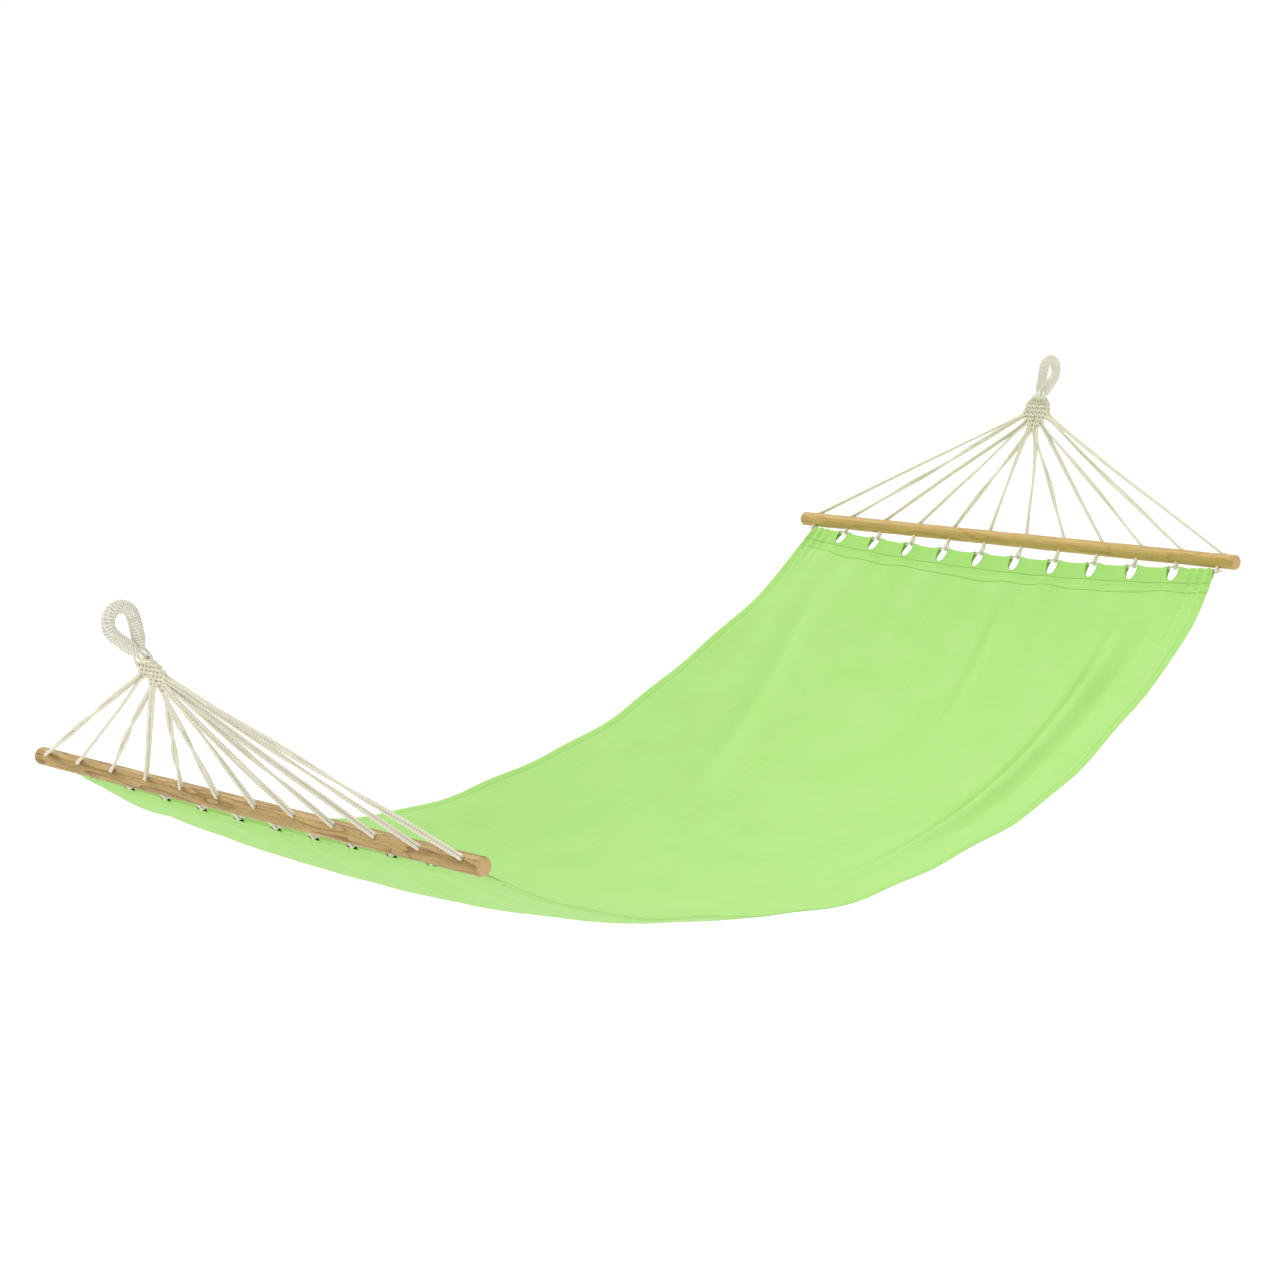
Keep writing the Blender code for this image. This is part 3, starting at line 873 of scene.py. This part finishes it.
def tunnel_radius(y):
    gap = np.abs(nearest_notch(y))
    gape = MOUTH_SWELL * bump(gap - NOTCH_HALF_WIDTH, 0.009)
    pleats = 0.0012 * (1 + np.sin(math.tau * np.asarray(y) / 0.017)) * smooth((np.abs(y) - 0.435) / 0.03)
    return TUNNEL_RADIUS + gape + pleats


def crease(off, width, depth):
    """A narrow valley with a softer ridge on its outer side. off is the distance across from the valley."""
    return depth * (1.3 * bump(off + 2.6 * width, 1.9 * width) - bump(off, width))


def faded(distance, start, stop, ease):
    return smooth((distance - start) / ease) * smooth((stop - distance) / (2 * ease))


# Creases that fan out from the head's hem: place across, lean, width
SHORT_FAN = ((0.20, 0.5, 0.008), (0.09, 0.3, 0.006), (-0.03, 0.2, 0.007), (-0.14, -0.1, 0.006))
LONG_FAN = ((-0.24, -0.2, 0.007), (-0.33, -0.3, 0.006), (-0.40, -0.35, 0.008))


def folds(y, t):
    """How far the hung cloth stands off its smooth curve, upwards."""
    from_head, from_foot = (1 + t) * HALF_CLOTH, (1 - t) * HALF_CLOTH
    near_end = np.minimum(from_head, from_foot)
    side = smooth((np.abs(y) - 0.38) / 0.12)

    deepest = y + 0.300 + 0.045 * np.clip(t, 0, 1) + 0.006 * np.sin(4 * t)
    long_folds = crease(deepest, 0.0095, 0.0075) * faded(from_foot, 0.05, 1.25, 0.25)
    long_folds -= 0.0080 * bump(y + 0.372 + 0.040 * t, 0.020) * faded(from_foot, 0.06, 1.0, 0.2)
    long_folds += 0.0120 * bump(y + 0.470, 0.050) * faded(from_foot, 0.03, 1.3, 0.3)
    long_folds -= 0.0070 * bump(y - 0.430 + 0.26 * from_foot, 0.024) * faded(from_foot, 0.06, 0.95, 0.2)
    long_folds -= 0.0048 * bump(y + 0.045 + 0.15 * from_foot, 0.011) * faded(from_foot, 0.05, 0.5, 0.12)
    long_folds += 0.0070 * bump(y - 0.455, 0.055) * faded(from_head, 0.05, 1.2, 0.3)
    long_folds += crease(-y - 0.33, 0.010, 0.0030) * faded(from_head, 0.05, 0.9, 0.2)

    fan = 0.0
    short = 0.0016 * faded(from_head, 0.03, 0.55, 0.1)
    for place, lean, width in SHORT_FAN:
        fan = fan + short * bump(y - place + lean * from_head * 0.3, width)
    long = 0.0022 * faded(from_head, 0.03, 0.7, 0.1)
    for place, lean, width in LONG_FAN:
        fan = fan + long * bump(y - place + lean * from_head * 0.2, width)

    flute = 0.0026 * np.cos(math.tau * (y / HOLE_PITCH + 0.5))
    flute = flute * np.exp(-near_end / 0.11) * smooth(near_end / 0.05)
    broad = 0.0030 * np.sin(5.1 * y + 2.3 * t + 0.7) * np.sin(3.7 * t + 4.0 * y)
    fine = 0.0010 * np.sin(23 * y + 5 * t) * np.sin(9 * t - 8 * y + 1.0) * np.sin(3 * t + 14 * y)
    pleats = 0.0030 * np.sin(math.tau * y / 0.021 + 3 * t) * smooth((np.abs(y) - 0.425) / 0.03)
    pleats = pleats * np.exp(-near_end / 0.055) * np.where(t > 0, 1.0, 0.5)
    edge_wave = (0.0035 * np.sin(11 * t + 1) + 0.002 * np.sin(27 * t + 2 * np.sign(y))) * side**2
    hem_step = 0.0006 * smooth((np.abs(y) - BED_WIDTH / 2 + SIDE_HEM) / 0.0012)
    inner = smooth(near_end / 0.16)
    height = flute + pleats + hem_step + long_folds + fan + (broad + fine + edge_wave) * inner
    return height - seam_grooves(y, near_end)


def flap_seam(y):
    """The turned-under edge is sewn down along a line that wanders."""
    return FLAP_SEAM + FLAP_SEAM_WANDER * (np.sin(21 * y + 1) + 0.6 * np.sin(53 * y))


def seam_grooves(y, along):
    side_seam = bump(np.abs(y) - BED_WIDTH / 2 + SIDE_HEM + 0.0015, 0.0015)
    pucker = 1 + 0.8 * np.sin(math.tau * y / 0.031 + 2 * np.sin(17 * y))
    tunnel_seam = bump(along - TUNNEL_SEAM, 0.003) * pucker
    return 0.0009 * tunnel_seam + 0.0008 * bump(along - flap_seam(y), 0.003) * pucker + 0.0005 * side_seam


def sheet(y, t, below=0.0):
    """The hung cloth: y across at the hem, t from -1 at the head's fold to 1 at the foot's."""
    y, t, below = np.broadcast_arrays(np.asarray(y, float), np.asarray(t, float), below)
    fold = np.where(t[..., None] < 0, fold_point(HEAD, y), fold_point(FOOT, y))
    share = np.abs(t)
    half_length = BAR_SPAN / 2 - fold[..., 0]
    sag = EDGE_SAG + (MIDDLE_SAG - EDGE_SAG) * middle_share(y)
    depth = sag + fold[..., 2]
    height = PARABOLA_SHARE * share**2 + (1 - PARABOLA_SHARE) * share**END_POWER
    steepness = 2 * PARABOLA_SHARE * share + END_POWER * (1 - PARABOLA_SHARE) * share ** (END_POWER - 1)
    slope = np.sign(t) * depth / half_length * steepness
    up = unit(np.stack([-slope, 0 * slope, np.ones_like(slope)], -1))
    spread = 1 + BED_SPREAD / BED_WIDTH * (1 - share**2) + CORNER_SPREAD * (1 - share**24)
    level = HEAD.bar.z + depth * height - sag + BED_TWIST * y * t * (1 - t**2)
    point = np.stack([MIDDLE_X + half_length * t, y * spread, level], -1)
    along = (1 - share) * half_length / math.cos(HEM_RISE)
    fade = (1 - np.clip(along / TUNNEL_SEAM, 0, 1)) ** 2
    lift = fade * cord_lift(np.clip(y, -LIFTED_HALF_WIDTH, LIFTED_HALF_WIDTH)) * 0.5
    pull = np.stack([np.sign(t) * math.cos(HEM_RISE), 0 * t, np.full_like(t, math.sin(HEM_RISE))], -1)
    swell = fade * (tunnel_radius(y) - TUNNEL_RADIUS)
    proud = folds(y, t) * smooth(along / 0.02) + swell - below
    return point + proud[..., None] * up + lift[..., None] * pull


def hem_t(end, y, along):
    """The t of a point this far from the fold, near an end."""
    sign = -1 if end is HEAD else 1
    return sign * (1 - along * math.cos(HEM_RISE) / (BAR_SPAN / 2 - fold_point(end, y)[..., 0]))


def half_notch(along):
    """Half the notch's width at this distance from the fold."""
    share = np.clip(np.abs(along) / NOTCH_DEPTH, 0, 1)
    return NOTCH_HALF_WIDTH * np.sqrt(1 - share**2.4)


NOTCH_ROWS = (0, 2, 5, 8, 11, 14, 17, 20, 23, 25.5, 27.5, 29, 30.1, 30.7, 31)
SEAM_ROWS = (33, 34.5, 36, 37.5, 39, 42, 46, 50, 54, 57, 59.5, 62, 64, 66, 69, 73)
HEM_ROWS = np.array(NOTCH_ROWS + SEAM_ROWS) / 1000
FLAP_EDGE = 0.064
FOLD_STEPS = 8
BODY_ROWS = 150
BAY_COLUMNS = 20
END_BAY_COLUMNS = 30


def make_bed():
    """One sheet, folded under at both ends round the hem cords, with a bay between each pair of notches."""
    notches = HOLE_PLACES[1:-1]
    edges = [BED_WIDTH / 2, *notches, -BED_WIDTH / 2]
    profile = []  # (end, distance from the fold, place on the section: flap, fold angle, top or body)
    for end in (HEAD, FOOT):
        part = [(end, along, "flap", 0) for along in HEM_ROWS[:0:-1] if along <= FLAP_EDGE]
        part += [(end, 0, "fold", math.pi * (1 - i / FOLD_STEPS)) for i in range(FOLD_STEPS + 1)]
        part += [(end, along, "top", 0) for along in HEM_ROWS[1:]]
        profile.append(part)
    body = [(None, share, "body", 0) for share in np.linspace(-1, 1, BODY_ROWS + 2)[1:-1]]
    rows = profile[0] + body + profile[1][::-1]

    shape, threads = Shape(), []
    for bay, (left, right) in enumerate(zip(edges, edges[1:])):
        columns = END_BAY_COLUMNS if bay in (0, len(edges) - 2) else BAY_COLUMNS
        crowded = (1 - np.cos(np.linspace(0, math.pi, columns + 1))) / 2
        across = crowded * 0.6 + np.linspace(0, 1, columns + 1) * 0.4
        grid = np.empty((len(rows), columns + 1, 3))
        flat = np.empty((len(rows), columns + 1, 2))
        doubled = np.empty((len(rows), columns + 1))
        for i, (end, along, kind, angle) in enumerate(rows):
            cut = half_notch(along) if end else 0.0
            from_y = left - (cut if left != edges[0] else 0)
            to_y = right + (cut if right != edges[-1] else 0)
            y = from_y + (to_y - from_y) * across
            grid[i] = bed_row(end, along, kind, angle, y)
            flat[i, :, 0] = y
            flat[i, :, 1] = flat_place(end, along, kind, angle)
            doubled[i] = hem_layers(kind, along, y)
        shape.add(grid, grid_faces(len(rows), columns + 1), doubled)
        threads.append(flat.reshape(-1, 2))
    bed = shape.build("bed_canvas", canvas)
    threads = np.concatenate(threads)
    layer = bed.data.uv_layers.new(name="threads")
    corners = np.empty(len(bed.data.loops), int)
    bed.data.loops.foreach_get("vertex_index", corners)
    layer.data.foreach_set("uv", threads[corners].astype(np.float32).ravel())
    weld(bed, 0.00002)
    cloth = bed.modifiers.new("cloth_thickness", "SOLIDIFY")
    cloth.thickness = CLOTH_THICKNESS
    cloth.offset = 0
    return bed


def hem_layers(kind, along, y):
    """1 where the cloth is sewn double at the ends, less along the sides, 0 where it is single. The canvas is
    painted darker by this share: painted shade where the cloth lies double.
    """
    sides = 0.35 * smooth((np.abs(y) - BED_WIDTH / 2 + SIDE_HEM) / 0.002)
    if kind == "body":
        return sides
    past_tunnel = smooth((along - TUNNEL_SEAM) / 0.004)
    past_flap = smooth((along - flap_seam(y)) / 0.002)
    return np.maximum(sides, 1 - 0.55 * past_tunnel - 0.45 * past_flap)


def flat_place(end, along, kind, angle):
    """Where a row lies along the flat cloth, from its middle."""
    if kind == "body":
        return along * BAR_SPAN / 2
    sign = -1 if end is HEAD else 1
    past = {"top": -along, "flap": along + math.pi * TUNNEL_RADIUS, "fold": angle * TUNNEL_RADIUS}[kind]
    return sign * (FOLD_THREAD + past)


def bed_row(end, along, kind, angle, y):
    if kind == "body":
        return sheet(y, abs(along) * hem_t(FOOT if along > 0 else HEAD, y, HEM_ROWS[-1]))
    if kind == "fold":
        centre = hem_cord_point(end, y, cord_lift(np.clip(y, -LIFTED_HALF_WIDTH, LIFTED_HALF_WIDTH)) * 0.5)
        spoke = math.cos(angle) * normal(HEM_RISE) - math.sin(angle) * direction(HEM_RISE)
        return end.place(centre + tunnel_radius(y)[:, None] * spoke)
    if kind == "top":
        return sheet(y, hem_t(end, y, along))
    opening = 2 * tunnel_radius(y) * (1 - np.clip(along / TUNNEL_SEAM, 0, 1)) ** 1.3
    return sheet(y, hem_t(end, y, along), np.maximum(opening, 1.5 * CLOTH_THICKNESS))


def make_stitching():
    """A row of stitches along each seam. The thread dips into the cloth between them."""
    shape = Shape()
    across = np.linspace(-BED_WIDTH / 2 + 0.001, BED_WIDTH / 2 - 0.001, 700)
    routes = []
    for end in (HEAD, FOOT):
        routes += [(across, hem_t(end, across, TUNNEL_SEAM)), (across, hem_t(end, across, flap_seam(across)))]
    t = np.linspace(-0.968, 0.968, 1400)
    side_seam = BED_WIDTH / 2 - SIDE_HEM - 0.0015
    routes += [(np.full_like(t, side), t) for side in (-side_seam, side_seam)]
    for y, t in routes:
        top = evenly(sheet(y, t, -CLOTH_THICKNESS / 2), STITCH / 4)
        depth = STITCH_RADIUS * (1 - 1.7 * np.cos(math.tau * np.arange(len(top)) / 4) ** 2)
        top[:, 2] += depth - STITCH_RADIUS * 0.4
        add_tube(shape, top, STITCH_RADIUS, 5, first_side=(0.3, 0.7, 0.6))
    return shape.build("bed_stitching", thread)


def make_binding():
    """The overcast lip round each notch, on the top of the hem."""
    shape = Shape()
    turn = np.linspace(-1, 1, 41)
    along = NOTCH_DEPTH * (1 - np.abs(turn) ** 2.2)
    for end in (HEAD, FOOT):
        for place in HOLE_PLACES[1:-1]:
            y = place + np.sign(turn) * half_notch(along)
            path = evenly(sheet(y, hem_t(end, y, along)), BINDING_RADIUS)
            add_tube(shape, path, BINDING_RADIUS, 8, twist(0.0022, 1, 0.0001))
    return shape.build("bed_notch_binding", thread)


def weld(piece, distance):
    bm = bmesh.new()
    bm.from_mesh(piece.data)
    bmesh.ops.remove_doubles(bm, verts=bm.verts, dist=distance)
    bmesh.ops.recalc_face_normals(bm, faces=bm.faces)
    bm.to_mesh(piece.data)
    bm.free()


def blend_bed(piece):
    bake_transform(piece)


# ---------------------------------------------------------------- stage


def make_camera():
    camera = bpy.data.objects.new("camera", bpy.data.cameras.new("camera"))
    bpy.context.scene.collection.objects.link(camera)
    camera.data.lens = CAMERA_LENS
    camera.matrix_world = (
        Matrix.Translation(HEAD.bar + Vector(CAMERA_PLACE))
        @ Matrix.Rotation(-CAMERA_YAW, 4, "Z")
        @ Matrix.Rotation(math.pi / 2 - CAMERA_PITCH, 4, "X")
        @ Matrix.Rotation(CAMERA_ROLL, 4, "Z")
    )
    bpy.context.scene.camera = camera


def stage_piece(name, bm, surface):
    mesh = bpy.data.meshes.new(name)
    bm.to_mesh(mesh)
    bm.free()
    mesh.materials.append(surface.material)
    piece = bpy.data.objects.new(name, mesh)
    bpy.context.scene.collection.objects.link(piece)
    return piece


def make_floor():
    bm = bmesh.new()
    bmesh.ops.create_grid(bm, size=FLOOR_SIZE)
    surface = Surface("floor", 0.9)
    surface.shader.inputs["Base Color"].default_value = (0.95, 0.95, 0.95, 1)
    floor = stage_piece("floor", bm, surface)
    floor.location.z = min(corner[2] for corner in cad_box) - FLOOR_DROP


def make_wall():
    """A white ring that only the camera sees: it lights nothing and shades nothing."""
    bm = bmesh.new()
    size = {"radius1": WALL_RADIUS, "radius2": WALL_RADIUS, "depth": WALL_HEIGHT}
    bmesh.ops.create_cone(bm, segments=96, cap_ends=False, **size)
    surface = Surface("wall", 1.0)
    surface.shader.inputs["Base Color"].default_value = (0, 0, 0, 1)
    surface.shader.inputs["Specular IOR Level"].default_value = 0
    surface.shader.inputs["Emission Color"].default_value = (1, 1, 1, 1)
    surface.shader.inputs["Emission Strength"].default_value = 1.0
    wall = stage_piece("wall", bm, surface)
    wall.visible_shadow = False
    wall.visible_diffuse = False
    wall.visible_glossy = False


def make_stage():
    make_floor()
    make_wall()
    world = bpy.data.worlds.new("studio")
    bpy.context.scene.world = world
    world.use_nodes = True
    background = world.node_tree.nodes["Background"]
    background.inputs["Color"].default_value = (1, 1, 1, 1)
    background.inputs["Strength"].default_value = WORLD_STRENGTH
    for name, place, spread, strength in SUNS:
        lamp = bpy.data.lights.new(name, "SUN")
        lamp.angle = math.radians(spread)
        lamp.energy = strength
        thing = bpy.data.objects.new(name, lamp)
        bpy.context.scene.collection.objects.link(thing)
        thing.rotation_euler = (-Vector(place)).to_track_quat("-Z", "Y").to_euler()
    bpy.context.scene.view_settings.view_transform = "Standard"


make_camera()
make_stage()
for end in (HEAD, FOOT):
    make_bar(end)
    make_eye(end)
    make_weft(end)
    make_hem_cord(end)
    for number in range(HOLE_COUNT):
        make_line(end, number)
bed = make_bed()
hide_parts("bed")
trim = [make_stitching(), make_binding()]
for piece in (bed, *trim):
    blend_bed(piece)
